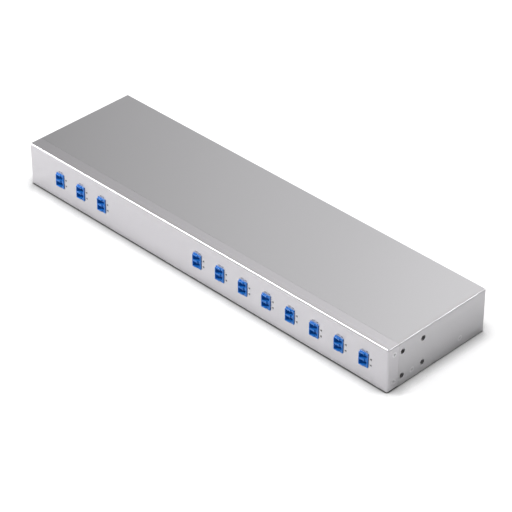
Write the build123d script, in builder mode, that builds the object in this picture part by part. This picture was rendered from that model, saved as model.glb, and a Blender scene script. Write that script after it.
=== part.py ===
"""Coarse wavelength division multiplexer in a 1U sheet metal case.

The case is a folded tray, a folded cover and a pan-shaped front panel that carries
eleven duplex LC adapters: three for the line side and eight for the channels. Inside
lie a multiplexer module, a demultiplexer module, two monitor tap couplers and the
fibre that joins them to the adapters by way of a spool.

Origin: centre of the bottom face. +X runs to the right seen from the front, +Y to
the rear and +Z up. All sizes are millimetres.
"""
from build123d import *
import os
from math import sqrt

os.makedirs("parts", exist_ok=True)

# Case sizes
CASE_WIDTH = 440.0
CASE_DEPTH = 120.0
CASE_HEIGHT = 43.6
SHEET = 1.2
FOLD_RADIUS = 1.5
SEAT_GAP = 0.15
SEAM_GAP = 0.1
PANEL_FLANGE = 13.0
TRAY_LIP = 8.0
SKIRT_CLEARANCE = 0.4
TONGUE_REACH = 8.0
CORNER_RELIEF = 3.0
WALL_END_RELIEF = 2.5
STEP_RUN = 1.5

# Fastener places, measured from the front face, the bottom or the middle height
PANEL_SCREW_FROM_FRONT = 7.7
PANEL_SCREW_SPACING = 27.5
COVER_SCREW_SPACING = 60.0
COVER_SCREW_HEIGHT = 8.5
EAR_FROM_FRONT = 30.0
EAR_SPACING_DEPTH = 25.0
EAR_SPACING_HEIGHT = 24.7
EAR_HOLE_RADIUS = 2.5

# M3 countersunk screw, its countersink and the hexagonal nut welded inside the wall
SCREW_RADIUS = 1.5
SCREW_HEAD_RADIUS = 2.75
SCREW_LENGTH = 6.0
SCREW_CLEARANCE = 0.1
RECESS_SPAN = 3.0
RECESS_WIDTH = 0.6
RECESS_DEPTH = 1.1
NUT_FLAT_RADIUS = 2.75
NUT_HEIGHT = 2.4
PRESS_GAP = 0.02

# M4 weld nut behind each rack ear hole
EAR_THREAD_RADIUS = 2.0
EAR_NUT_FLAT_RADIUS = 3.5
EAR_NUT_HEIGHT = 3.2

# Adapter rows in the front panel
ADAPTER_PITCH = 27.83
LINE_ADAPTERS = 3
CHANNEL_ADAPTERS = 8
LINE_MARGIN = 41.1
CHANNEL_MARGIN = 25.9
CUTOUT_GAP = 0.2

# Duplex LC adapter, ports one above the other, latches to the right
ADAPTER_WIDTH = 9.3
ADAPTER_HEIGHT = 12.8
ADAPTER_LENGTH = 26.0
ADAPTER_EDGE = 0.5
NOSE_WIDTH = 6.0
NOSE_PROUD = 2.0
FLANGE_THICKNESS = 0.8
FLANGE_PROUD = 0.7
PORT_PITCH = 6.25
PORT_SIZE = 4.7
PORT_SIDE_WALL = 0.7
MID_WALL = 2.0
LATCH_SLOT_WIDTH = 3.2
LATCH_SLOT_DEPTH = 2.75
LATCH_POCKET_START = 4.0
LATCH_POCKET_END = 9.0

# Tube that holds the alignment sleeve, through the wall between the two halves
SLEEVE_BORE_RADIUS = 0.63
HOLDER_RADIUS = 1.5
HOLDER_LENGTH = 12.0
HOLDER_GAP = 0.02

# Spring clip behind each adapter
CLIP_THICKNESS = 0.3
CLIP_LENGTH = 6.0
CLIP_GAP = 0.1
CLIP_SPREAD = 1.8
CLIP_WING_WIDTH = 5.0
CLIP_ROOT = 1.2

# LC plug on each fibre tail
PLUG_SIZE = 4.5
PLUG_LENGTH = 18.0
PLUG_ENTRY_GAP = 0.2
FERRULE_TIP_GAP = 0.1
FERRULE_GAP = 0.01
PLUG_LATCH_WIDTH = 2.6
PLUG_LATCH_THICKNESS = 0.8
PLUG_LATCH_LENGTH = 10.0
PLUG_LATCH_STANDOFF = 0.9
PLUG_LATCH_RISE = 2.5
BOOT_LENGTH = 18.0
BOOT_RADIUS = 1.7
BOOT_TIP_RADIUS = 0.95

# Fibre tails and their bend
FIBRE_RADIUS = 0.45
FIBRE_BEND = 25.0
LANE_PITCH = 0.95

# Filter modules
MODULE_LENGTH = 100.0
MODULE_WIDTH = 80.0
MODULE_HEIGHT = 10.0
MODULE_CORNER = 4.0
MODULE_SCREW_INSET = 4.5
MODULE_FROM_REAR = 2.5
MUX_FROM_LEFT = 10.0
MUX_TO_COIL = 6.6
COIL_TO_DEMUX = 34.6
MODULE_BOOT_LENGTH = 8.0
MODULE_BOOT_WIDTH = 9.0
MODULE_BOOT_HEIGHT = 6.0
MODULE_BOOT_TAPER = 4.0
LOOM_RADIUS = 1.8
HEXAGON_FLAT_RADIUS = 2.75
HEXAGON_HEIGHT = 2.0

# Fibre spool and the coil on it
SPOOL_RADIUS = 33.0
SPOOL_WALL = 1.5
SPOOL_HEIGHT = 28.0
SPOOL_FOOT = 1.5
SPOOL_FOOT_WIDTH = 12.0
SPOOL_TAB_REACH = 11.0
SPOOL_TAB_WIDTH = 9.0
SPOOL_TAB_THICKNESS = 1.2
SPOOL_SCREW_CIRCLE = 27.0
COIL_GAP = 0.4
COIL_WIDTH = 8.0
COIL_FROM_REAR = 9.4
COIL_FLOOR = 4.5
COIL_TOP = 27.4

# Monitor tap couplers
COUPLER_RADIUS = 1.5
COUPLER_LENGTH = 40.0
COUPLER_HEIGHT = 6.4
COUPLER_TO_COIL = 3.9
COUPLER_PITCH = 4.2
COUPLER_BEND = 15.0
LEAD_PITCH = 2.4
HOLDER_BLOCK_LENGTH = 22.0
HOLDER_BLOCK_MARGIN = 1.5
HOLDER_BLOCK_TOP = 7.4
LEAD_RADIUS = 0.75

# Clips that hold the fibre lanes on the rear wall
LANE_CLIP_WIDTH = 8.0
LANE_CLIP_WALL = 1.2
LANE_CLIP_GAP = 2.5
LANE_CLIP_HOOK = 2.7
FIRST_LANE = 1.2
END_GAP = 0.1
LANE_CLIP_PLACES = (-140.0, 40.0, 100.0, 160.0)

# Places that follow from the sizes
FRONT_Y = -CASE_DEPTH / 2
REAR_Y = CASE_DEPTH / 2
MID_Z = CASE_HEIGHT / 2
FLANGE_REAR_Y = FRONT_Y + PANEL_FLANGE
COVER_FRONT_Y = FLANGE_REAR_Y + SEAM_GAP
TRAY_HALF_WIDTH = CASE_WIDTH / 2 - SHEET - SEAT_GAP
TRAY_TOP_Z = CASE_HEIGHT - SHEET - SEAT_GAP
TRAY_FRONT_Y = FRONT_Y + SHEET + SEAT_GAP
TRAY_STEP_Z = SHEET + SEAT_GAP
FLOOR_START_Y = COVER_FRONT_Y + STEP_RUN
WALL_END_Y = REAR_Y - CORNER_RELIEF
HOLE_RADIUS = SCREW_RADIUS + SCREW_CLEARANCE
COUNTERSINK_RADIUS = SCREW_HEAD_RADIUS + SCREW_CLEARANCE / 2
EAR_Y = FRONT_Y + EAR_FROM_FRONT
PANEL_SCREW_Y = FRONT_Y + PANEL_SCREW_FROM_FRONT
CENTRE_Y = ADAPTER_LENGTH / 2 - NOSE_PROUD
PORT_X = -ADAPTER_WIDTH / 2 + PORT_SIDE_WALL + PORT_SIZE / 2
PORT_Z = PORT_PITCH / 2
PORT_PLACES = [(PORT_X, PORT_Z), (PORT_X, -PORT_Z)]
PORT_AXES = [(x, 0, z) for x, z in PORT_PLACES]
LATCH_PLACES = [(PORT_X + (PORT_SIZE + LATCH_SLOT_DEPTH) / 2, z) for x, z in PORT_PLACES]
PORT_DEPTH = CENTRE_Y - MID_WALL / 2
CLIP_WIDTH = ADAPTER_WIDTH + 2 * (CLIP_GAP + CLIP_THICKNESS)
CLIP_HEIGHT = ADAPTER_HEIGHT + 2 * (CLIP_GAP + CLIP_THICKNESS)
PLUG_FRONT_Y = CENTRE_Y + HOLDER_LENGTH / 2 + PLUG_ENTRY_GAP
PLUG_LATCH_X = PLUG_SIZE / 2 + PLUG_LATCH_STANDOFF
TAIL_START_Y = FRONT_Y + PLUG_FRONT_Y + PLUG_LENGTH + BOOT_LENGTH
COIL_INNER = SPOOL_RADIUS + COIL_GAP
COIL_OUTER = COIL_INNER + COIL_WIDTH
MUX_X = -CASE_WIDTH / 2 + MUX_FROM_LEFT + MODULE_LENGTH / 2
SPOOL_X = MUX_X + MODULE_LENGTH / 2 + MUX_TO_COIL + COIL_OUTER
DEMUX_X = SPOOL_X + COIL_OUTER + COIL_TO_DEMUX + MODULE_LENGTH / 2
SPOOL_Y = REAR_Y - SHEET - COIL_FROM_REAR - COIL_OUTER
MODULE_MID_Z = SHEET + MODULE_HEIGHT / 2
MODULE_TOP_Z = SHEET + MODULE_HEIGHT
MODULE_SCREW_X = MODULE_LENGTH / 2 - MODULE_SCREW_INSET
MODULE_SCREW_Y = MODULE_WIDTH / 2 - MODULE_SCREW_INSET
MODULE_Y = REAR_Y - SHEET - MODULE_FROM_REAR - MODULE_WIDTH / 2
LOOM_Y = SPOOL_Y + COIL_INNER + COIL_WIDTH / 2
COUPLER_ROWS = [SPOOL_Y - COIL_OUTER - COUPLER_TO_COIL - COUPLER_PITCH * i for i in (1, 0)]
LANE_CLIP_FRONT_Y = SPOOL_Y + COIL_INNER + FIRST_LANE - LANE_CLIP_GAP
LANE_CLIP_TOP_Z = MID_Z + PORT_Z + FIBRE_RADIUS + LANE_CLIP_GAP + LANE_CLIP_WALL
LANE_CLIP_BOTTOM_Z = MID_Z - PORT_Z - FIBRE_RADIUS - LANE_CLIP_GAP - LANE_CLIP_WALL


def side_location(side, y, z):
    """Place on the case's right (side 1) or left (side -1) face, looking outwards."""
    return Plane(origin=(side * CASE_WIDTH / 2, y, z), x_dir=(0, 1, 0), z_dir=(side, 0, 0)).location


def floor_location(x, y):
    """Place on the tray's floor, looking up."""
    return Location((x, y, SHEET))


def adapter_centres():
    """Distance along X of each adapter's centre, from left to right."""
    line_start = -CASE_WIDTH / 2 + LINE_MARGIN
    channel_end = CASE_WIDTH / 2 - CHANNEL_MARGIN
    line = [line_start + ADAPTER_PITCH * i for i in range(LINE_ADAPTERS)]
    channel = [channel_end - ADAPTER_PITCH * i for i in range(CHANNEL_ADAPTERS)]
    return line + sorted(channel)


PANEL_SCREWS = [
    side_location(side, PANEL_SCREW_Y, MID_Z + step * PANEL_SCREW_SPACING / 2)
    for side in (-1, 1)
    for step in (-1, 1)
]
COVER_SCREWS = [
    side_location(side, EAR_Y + step * COVER_SCREW_SPACING, COVER_SCREW_HEIGHT)
    for side in (-1, 1)
    for step in (0, 1)
]
EAR_HOLES = [
    side_location(
        side,
        EAR_Y + along * EAR_SPACING_DEPTH / 2,
        MID_Z + up * EAR_SPACING_HEIGHT / 2,
    )
    for side in (-1, 1)
    for along in (-1, 1)
    for up in (-1, 1)
]
MODULE_SCREW_PLACES = [
    (x + corner * MODULE_SCREW_X, MODULE_Y + corner * MODULE_SCREW_Y)
    for x in (MUX_X, DEMUX_X)
    for corner in (-1, 1)
]
SPOOL_SCREW_PLACES = [
    (SPOOL_X + place.position.X, SPOOL_Y + place.position.Y)
    for place in PolarLocations(SPOOL_SCREW_CIRCLE, 3, start_angle=90)
]
FLOOR_SCREW_PLACES = MODULE_SCREW_PLACES + SPOOL_SCREW_PLACES


def folded_strip(plane, points, side=Side.LEFT):
    """Section of a sheet folded along a path, with its thickness on one side of the path."""
    with BuildSketch(plane) as strip:
        with BuildLine():
            FilletPolyline(*points, radius=FOLD_RADIUS)
            offset(amount=SHEET, side=side)
        make_face()
    return strip.sketch


def save(part, name):
    """Label a finished piece and write its STEP file."""
    part.label = name
    export_step(part, f"parts/{name}.step")


# Folded tray, fixed under the cover: floor, lipped side walls, rear wall and stepped front edge
REAR_WALL_PATH = [(WALL_END_Y, 0), (REAR_Y, 0), (REAR_Y, TRAY_TOP_Z), (REAR_Y - TRAY_LIP, TRAY_TOP_Z)]
FRONT_STEP_PATH = [
    (TRAY_FRONT_Y, TRAY_STEP_Z),
    (COVER_FRONT_Y, TRAY_STEP_Z),
    (FLOOR_START_Y, 0),
    (FLOOR_START_Y + CORNER_RELIEF, 0),
]
SIDE_WALL_PATH = [
    (TRAY_HALF_WIDTH, CORNER_RELIEF),
    (TRAY_HALF_WIDTH, TRAY_TOP_Z),
    (TRAY_HALF_WIDTH - TRAY_LIP, TRAY_TOP_Z),
]
TRAY_SECTION_PATH = [
    (-TRAY_HALF_WIDTH + TRAY_LIP, TRAY_TOP_Z),
    (-TRAY_HALF_WIDTH, TRAY_TOP_Z),
    (-TRAY_HALF_WIDTH, 0),
    (TRAY_HALF_WIDTH, 0),
    (TRAY_HALF_WIDTH, TRAY_TOP_Z),
    (TRAY_HALF_WIDTH - TRAY_LIP, TRAY_TOP_Z),
]
with BuildPart() as chassis_tray:
    extrude(
        folded_strip(Plane.YZ, REAR_WALL_PATH),
        amount=TRAY_HALF_WIDTH - TRAY_LIP - SEAM_GAP,
        both=True,
    )
    extrude(
        folded_strip(Plane.YZ, [*REAR_WALL_PATH[:2], (REAR_Y, TRAY_TOP_Z - CORNER_RELIEF)]),
        amount=TRAY_HALF_WIDTH - FOLD_RADIUS,
        both=True,
    )
    extrude(
        folded_strip(Plane.YZ, FRONT_STEP_PATH),
        amount=TRAY_HALF_WIDTH - FOLD_RADIUS,
        both=True,
    )
    extrude(
        folded_strip(Plane.XZ.offset(-WALL_END_Y), TRAY_SECTION_PATH),
        amount=WALL_END_Y - FLOOR_START_Y,
    )
    extrude(
        folded_strip(Plane.XZ.offset(-FLOOR_START_Y), SIDE_WALL_PATH),
        amount=FLOOR_START_Y - TRAY_FRONT_Y,
    )
    extrude(
        folded_strip(Plane.XZ.offset(-FLOOR_START_Y), [(-x, z) for x, z in SIDE_WALL_PATH], Side.RIGHT),
        amount=FLOOR_START_Y - TRAY_FRONT_Y,
    )
    with BuildSketch(Plane.YZ.offset(TRAY_HALF_WIDTH)):
        with Locations(((WALL_END_Y + REAR_Y) / 2, MID_Z)):
            Rectangle(REAR_Y - WALL_END_Y, CASE_HEIGHT - 2 * WALL_END_RELIEF)
    extrude(amount=-SHEET)
    with BuildSketch(Plane.YZ.offset(-TRAY_HALF_WIDTH)):
        with Locations(((WALL_END_Y + REAR_Y) / 2, MID_Z)):
            Rectangle(REAR_Y - WALL_END_Y, CASE_HEIGHT - 2 * WALL_END_RELIEF)
    extrude(amount=SHEET)
    with Locations(*PANEL_SCREWS, *COVER_SCREWS):
        Hole(HOLE_RADIUS, depth=SHEET * 3)
    with Locations(*EAR_HOLES):
        Hole(EAR_THREAD_RADIUS, depth=SHEET * 3)
    with Locations(*[floor_location(x, y) for x, y in FLOOR_SCREW_PLACES]):
        Hole(HOLE_RADIUS, depth=SHEET * 2)
save(chassis_tray.part, "chassis_tray")

# Front panel: a shallow pan with a flange on all four sides
with BuildPart() as front_panel:
    with BuildSketch(Plane.XZ.offset(-FRONT_Y)):
        with Locations((0, MID_Z)):
            Rectangle(CASE_WIDTH, CASE_HEIGHT)
    extrude(amount=-PANEL_FLANGE)
    front_face = front_panel.faces().sort_by(Axis.Y)[0]
    fillet(front_panel.edges().filter_by(Axis.Y) + front_face.edges(), FOLD_RADIUS)
    offset(amount=-SHEET, openings=front_panel.faces().sort_by(Axis.Y)[-1])
    with BuildSketch(Plane.XZ.offset(-FRONT_Y)):
        with Locations(*[(x, MID_Z) for x in adapter_centres()]):
            Rectangle(ADAPTER_WIDTH + 2 * CUTOUT_GAP, ADAPTER_HEIGHT + 2 * CUTOUT_GAP)
    extrude(amount=-SHEET, mode=Mode.SUBTRACT)
    with Locations(*PANEL_SCREWS):
        CounterSinkHole(HOLE_RADIUS, COUNTERSINK_RADIUS, depth=SHEET * 2, counter_sink_angle=90)
save(front_panel.part, "front_panel")

# Cover: top and side skirts, with a welded tongue that slips under the front panel's flange
COVER_PATH = [
    (-CASE_WIDTH / 2, SKIRT_CLEARANCE),
    (-CASE_WIDTH / 2, CASE_HEIGHT),
    (CASE_WIDTH / 2, CASE_HEIGHT),
    (CASE_WIDTH / 2, SKIRT_CLEARANCE),
]
with BuildPart() as top_cover:
    extrude(
        folded_strip(Plane.XZ.offset(-REAR_Y), COVER_PATH, Side.RIGHT),
        amount=REAR_Y - COVER_FRONT_Y,
    )
    with Locations((0, COVER_FRONT_Y, CASE_HEIGHT - SHEET)):
        Box(
            2 * (TRAY_HALF_WIDTH - TRAY_LIP - SEAM_GAP),
            2 * TONGUE_REACH,
            SHEET,
            align=(Align.CENTER, Align.CENTER, Align.MAX),
        )
    with Locations(*COVER_SCREWS):
        CounterSinkHole(HOLE_RADIUS, COUNTERSINK_RADIUS, depth=SHEET * 2, counter_sink_angle=90)
    with Locations(*EAR_HOLES):
        Hole(EAR_HOLE_RADIUS, depth=SHEET * 1.5)
save(top_cover.part, "top_cover")

# Countersunk screw with a cross recess, its head's top at the origin and its tip down
with BuildPart() as countersunk_screw:
    with BuildSketch(Plane.XZ):
        with BuildLine():
            Polyline(
                (0, 0),
                (SCREW_HEAD_RADIUS, 0),
                (SCREW_RADIUS, SCREW_RADIUS - SCREW_HEAD_RADIUS),
                (SCREW_RADIUS, -SCREW_LENGTH),
                (0, -SCREW_LENGTH),
                close=True,
            )
        make_face()
    revolve(axis=Axis.Z)
    with BuildSketch():
        Rectangle(RECESS_SPAN, RECESS_WIDTH)
        Rectangle(RECESS_WIDTH, RECESS_SPAN)
    extrude(amount=-RECESS_DEPTH, mode=Mode.SUBTRACT)


def weld_nut(flat_radius, height, bore_radius):
    """Hexagonal nut on the inside of the tray's wall, placed by the outer skin above it."""
    with BuildPart() as nut:
        with BuildSketch(Plane.XY.offset(-2 * SHEET - SEAT_GAP)):
            RegularPolygon(flat_radius, 6, major_radius=False)
            Circle(bore_radius, mode=Mode.SUBTRACT)
        extrude(amount=-height)
    return nut.part


def hexagon_screw(length):
    """Hexagon head screw that stands on its seat at the origin, its tip down."""
    with BuildPart() as screw:
        with BuildSketch():
            RegularPolygon(HEXAGON_FLAT_RADIUS, 6, major_radius=False)
        extrude(amount=HEXAGON_HEIGHT)
        Cylinder(SCREW_RADIUS, length, align=(Align.CENTER, Align.CENTER, Align.MAX))
    return screw.part


def group(part, places):
    """Like pieces as one group of separate solids."""
    with BuildPart() as pieces:
        with Locations(*places):
            add(part)
    return pieces.part


# Fasteners
small_nut = weld_nut(NUT_FLAT_RADIUS, NUT_HEIGHT, HOLE_RADIUS)
ear_nut = weld_nut(EAR_NUT_FLAT_RADIUS, EAR_NUT_HEIGHT, EAR_THREAD_RADIUS)
save(group(countersunk_screw.part, PANEL_SCREWS), "panel_screws")
save(group(small_nut, PANEL_SCREWS), "panel_nuts")
save(group(countersunk_screw.part, COVER_SCREWS), "cover_screws")
save(group(small_nut, COVER_SCREWS), "cover_nuts")
save(group(ear_nut, EAR_HOLES), "rack_ear_nuts")
module_seats = [(x, y, MODULE_TOP_Z) for x, y in MODULE_SCREW_PLACES]
spool_seats = [(x, y, SHEET + SPOOL_FOOT) for x, y in SPOOL_SCREW_PLACES]
save(group(hexagon_screw(MODULE_HEIGHT + SHEET / 2), module_seats), "module_screws")
save(group(hexagon_screw(SPOOL_FOOT + SHEET / 2), spool_seats), "spool_screws")

# Inner half of a duplex adapter: ports, latch slots and pockets, up to the wall in the middle
with BuildPart() as adapter_half:
    with BuildSketch(Plane.XZ.offset(FLANGE_THICKNESS)) as body_outline:
        Rectangle(ADAPTER_WIDTH, ADAPTER_HEIGHT)
        chamfer(body_outline.vertices(), ADAPTER_EDGE)
    extrude(amount=-FLANGE_THICKNESS - CENTRE_Y)
    with BuildSketch(Plane.XZ) as nose_outline:
        with Locations(((NOSE_WIDTH - ADAPTER_WIDTH) / 2, 0)):
            Rectangle(NOSE_WIDTH, ADAPTER_HEIGHT)
        chamfer(nose_outline.vertices(), ADAPTER_EDGE)
    extrude(amount=NOSE_PROUD)
    with BuildSketch(Plane.XZ.offset(NOSE_PROUD)):
        with Locations(*PORT_PLACES):
            Rectangle(PORT_SIZE, PORT_SIZE)
    extrude(amount=-NOSE_PROUD - PORT_DEPTH, mode=Mode.SUBTRACT)
    with BuildSketch(Plane.XZ.offset(NOSE_PROUD)):
        with Locations(*LATCH_PLACES):
            Rectangle(LATCH_SLOT_DEPTH, LATCH_SLOT_WIDTH)
    extrude(amount=-NOSE_PROUD - LATCH_POCKET_START, mode=Mode.SUBTRACT)
    with BuildSketch(Plane.XZ.offset(-LATCH_POCKET_START)):
        with Locations(*LATCH_PLACES):
            Rectangle(LATCH_SLOT_DEPTH, PORT_SIZE)
    extrude(amount=LATCH_POCKET_START - LATCH_POCKET_END, mode=Mode.SUBTRACT)
    with BuildSketch(Plane.XZ.offset(-CENTRE_Y)):
        with Locations(*PORT_PLACES):
            RegularPolygon(HOLDER_RADIUS + HOLDER_GAP, 8, major_radius=False)
    extrude(amount=MID_WALL / 2, mode=Mode.SUBTRACT)

# Front half, with the flange that stops it on the panel
with BuildPart() as lc_adapter:
    add(adapter_half.part)
    with BuildSketch(Plane.XZ.offset(FLANGE_THICKNESS)):
        for side in (-1, 1):
            with Locations((0, side * ADAPTER_HEIGHT / 2)):
                Rectangle(ADAPTER_WIDTH, 2 * FLANGE_PROUD)
    extrude(amount=-FLANGE_THICKNESS)

# Rear half, welded to the front one at the middle
rear_half = adapter_half.part.mirror(Plane.XZ.offset(-CENTRE_Y))

# Tubes that hold the alignment sleeves in both ports
with BuildPart() as sleeve_holders:
    with BuildSketch(Plane.XZ.offset(-CENTRE_Y)):
        with Locations(*PORT_PLACES):
            RegularPolygon(HOLDER_RADIUS, 8, major_radius=False)
            Circle(SLEEVE_BORE_RADIUS, mode=Mode.SUBTRACT)
    extrude(amount=HOLDER_LENGTH / 2, both=True)

# Spring clip: a band round the adapter with two wings that press on the panel
with BuildPart() as adapter_clip:
    with BuildSketch(Plane.XZ.offset(-SHEET - CLIP_GAP)):
        Rectangle(CLIP_WIDTH, CLIP_HEIGHT)
        Rectangle(CLIP_WIDTH - 2 * CLIP_THICKNESS, CLIP_HEIGHT - 2 * CLIP_THICKNESS, mode=Mode.SUBTRACT)
    extrude(amount=-CLIP_LENGTH)
    with BuildSketch():
        with BuildLine():
            Polyline(
                (CLIP_WIDTH / 2 - CLIP_THICKNESS, SHEET + CLIP_GAP + CLIP_LENGTH),
                (CLIP_WIDTH / 2 - CLIP_THICKNESS, SHEET + CLIP_GAP + CLIP_LENGTH - CLIP_ROOT),
                (CLIP_WIDTH / 2 + CLIP_SPREAD, SHEET + CLIP_GAP),
                (CLIP_WIDTH / 2 + CLIP_SPREAD + CLIP_THICKNESS, SHEET + CLIP_GAP),
                close=True,
            )
        make_face()
    extrude(amount=CLIP_WING_WIDTH / 2, both=True)
    mirror(about=Plane.YZ)

# LC plug with its ferrule, latch and boot, on the axis of a port's rear
with BuildPart() as lc_plug:
    with BuildSketch(Plane.XZ.offset(-PLUG_FRONT_Y)):
        Rectangle(PLUG_SIZE, PLUG_SIZE)
    extrude(amount=-PLUG_LENGTH)
    with BuildSketch(Plane.XZ.offset(-CENTRE_Y - FERRULE_TIP_GAP)):
        RegularPolygon(SLEEVE_BORE_RADIUS - FERRULE_GAP, 8)
    extrude(amount=CENTRE_Y + FERRULE_TIP_GAP - PLUG_FRONT_Y)
    with BuildSketch():
        with BuildLine():
            Polyline(
                (PLUG_SIZE / 2 - PLUG_LATCH_THICKNESS, PLUG_FRONT_Y),
                (PLUG_SIZE / 2, PLUG_FRONT_Y),
                (PLUG_LATCH_X + PLUG_LATCH_THICKNESS, PLUG_FRONT_Y + PLUG_LATCH_RISE),
                (PLUG_LATCH_X + PLUG_LATCH_THICKNESS, PLUG_FRONT_Y + PLUG_LATCH_LENGTH),
                (PLUG_LATCH_X, PLUG_FRONT_Y + PLUG_LATCH_LENGTH),
                (PLUG_LATCH_X, PLUG_FRONT_Y + PLUG_LATCH_RISE + PLUG_LATCH_THICKNESS),
                (PLUG_SIZE / 2 - PLUG_LATCH_THICKNESS, PLUG_FRONT_Y + PLUG_LATCH_THICKNESS),
                close=True,
            )
        make_face()
    extrude(amount=PLUG_LATCH_WIDTH / 2, both=True)
    with BuildSketch(Plane.XZ.offset(-PLUG_FRONT_Y - PLUG_LENGTH)):
        RegularPolygon(BOOT_RADIUS, 8)
    with BuildSketch(Plane.XZ.offset(-PLUG_FRONT_Y - PLUG_LENGTH - BOOT_LENGTH)):
        RegularPolygon(BOOT_TIP_RADIUS, 8)
    loft()

# Adapters and plugs at each place in the panel
plug_pair = group(lc_plug.part, PORT_AXES)
for number, x in enumerate(adapter_centres(), start=1):
    place = Location((x, FRONT_Y, MID_Z))
    save(lc_adapter.part.moved(place), f"lc_adapter_{number:02d}")
    save(plug_pair.moved(place), f"plug_pair_{number:02d}")
adapter_places = [(x, FRONT_Y, MID_Z) for x in adapter_centres()]
save(group(rear_half, adapter_places), "adapter_rear_halves")
save(group(sleeve_holders.part, adapter_places), "sleeve_holders")
save(group(adapter_clip.part, adapter_places), "adapter_clips")


def filter_module(centre_x, exit_side):
    """Sealed filter module on the tray floor, its fibre nozzle on the side towards the spool."""
    with BuildPart() as module:
        with BuildSketch(Plane.XY.offset(SHEET)):
            with Locations((centre_x, MODULE_Y)):
                RectangleRounded(MODULE_LENGTH, MODULE_WIDTH, MODULE_CORNER)
        extrude(amount=MODULE_HEIGHT)
        end_x = centre_x + exit_side * MODULE_LENGTH / 2
        with BuildSketch(Plane(origin=(end_x, LOOM_Y, MODULE_MID_Z), z_dir=(exit_side, 0, 0))):
            Rectangle(MODULE_BOOT_HEIGHT, MODULE_BOOT_WIDTH)
        extrude(amount=MODULE_BOOT_LENGTH, taper=MODULE_BOOT_TAPER)
        with Locations(
            *[
                (centre_x + corner * MODULE_SCREW_X, MODULE_Y + corner * MODULE_SCREW_Y, MODULE_TOP_Z)
                for corner in (-1, 1)
            ]
        ):
            Hole(HOLE_RADIUS, depth=MODULE_HEIGHT)
    return module.part


save(filter_module(MUX_X, 1), "mux_module")
save(filter_module(DEMUX_X, -1), "demux_module")

# Spool that keeps the fibre coil at its bend radius
with BuildPart() as fibre_spool:
    with BuildSketch(Plane.XY.offset(SHEET)):
        Circle(SPOOL_RADIUS)
        Circle(SPOOL_RADIUS - SPOOL_WALL, mode=Mode.SUBTRACT)
    extrude(amount=SPOOL_HEIGHT)
    with BuildSketch(Plane.XY.offset(SHEET)):
        Circle(SPOOL_RADIUS)
        Circle(SPOOL_RADIUS - SPOOL_FOOT_WIDTH, mode=Mode.SUBTRACT)
    extrude(amount=SPOOL_FOOT)
    for height in (COIL_FLOOR - SPOOL_TAB_THICKNESS, SHEET + SPOOL_HEIGHT - SPOOL_TAB_THICKNESS):
        with BuildSketch(Plane.XY.offset(height)):
            with PolarLocations(SPOOL_RADIUS + SPOOL_TAB_REACH / 2 - SPOOL_WALL / 2, 4, start_angle=45):
                Rectangle(SPOOL_TAB_REACH + SPOOL_WALL, SPOOL_TAB_WIDTH)
            Circle(SPOOL_RADIUS - SPOOL_WALL, mode=Mode.SUBTRACT)
        extrude(amount=SPOOL_TAB_THICKNESS)
    with PolarLocations(SPOOL_SCREW_CIRCLE, 3, start_angle=90):
        with Locations((0, 0, SHEET + SPOOL_FOOT)):
            Hole(HOLE_RADIUS, depth=SPOOL_FOOT)
SPOOL_PLACE = Location((SPOOL_X, SPOOL_Y, 0))
save(fibre_spool.part.moved(SPOOL_PLACE), "fibre_spool")

# Coil of spare fibre on the spool, as its outer shape
with BuildPart() as fibre_coil:
    with BuildSketch(Plane.XY.offset(COIL_FLOOR)):
        Circle(COIL_OUTER)
        Circle(COIL_INNER, mode=Mode.SUBTRACT)
    extrude(amount=COIL_TOP - COIL_FLOOR)
save(fibre_coil.part.moved(SPOOL_PLACE), "fibre_coil")


def fibre(points, radius, bend=None):
    """Fibre or bundle of six-sided section along straight runs joined by arcs."""
    with BuildPart() as run:
        with BuildLine() as path:
            if bend is None:
                Polyline(*points)
            else:
                FilletPolyline(*points, radius=bend)
        with BuildSketch(Plane(origin=path.line @ 0, z_dir=path.line % 0)):
            RegularPolygon(radius, 6)
        sweep()
    return run.part


def coil_reach(offset_from_centre, radius):
    """Distance from the spool's centre at which a run at that offset meets the coil."""
    return sqrt(COIL_OUTER**2 - (offset_from_centre - radius) ** 2) + END_GAP


def tails(places, side):
    """Tails from the plugs to the coil; side is 1 right of the spool and -1 left of it."""
    with BuildPart() as bundle:
        for lane, x in enumerate(places):
            lane_offset = COIL_INNER + FIRST_LANE + LANE_PITCH * lane
            lane_y = SPOOL_Y + lane_offset
            end_x = SPOOL_X + side * coil_reach(lane_offset, FIBRE_RADIUS)
            bend = min(FIBRE_BEND, abs(x + PORT_X - end_x) - END_GAP)
            for step in (-1, 1):
                z = MID_Z + step * PORT_Z
                start = (x + PORT_X, TAIL_START_Y, z)
                add(fibre([start, (x + PORT_X, lane_y, z), (end_x, lane_y, z)], FIBRE_RADIUS, bend))
    return bundle.part


line_places = adapter_centres()[:LINE_ADAPTERS]
channel_places = adapter_centres()[LINE_ADAPTERS:]
save(tails(reversed(line_places), -1), "line_tails")
save(tails(channel_places, 1), "channel_tails")

# Bundles between the modules and the coil
loom_reach = coil_reach(LOOM_Y - SPOOL_Y, LOOM_RADIUS)
mux_exit_x = MUX_X + MODULE_LENGTH / 2 + MODULE_BOOT_LENGTH
demux_exit_x = DEMUX_X - MODULE_LENGTH / 2 - MODULE_BOOT_LENGTH
mux_loom_ends = [(mux_exit_x, LOOM_Y, MODULE_MID_Z), (SPOOL_X - loom_reach, LOOM_Y, MODULE_MID_Z)]
demux_loom_ends = [(demux_exit_x, LOOM_Y, MODULE_MID_Z), (SPOOL_X + loom_reach, LOOM_Y, MODULE_MID_Z)]
save(fibre(mux_loom_ends, LOOM_RADIUS), "mux_loom")
save(fibre(demux_loom_ends, LOOM_RADIUS), "demux_loom")

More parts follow.
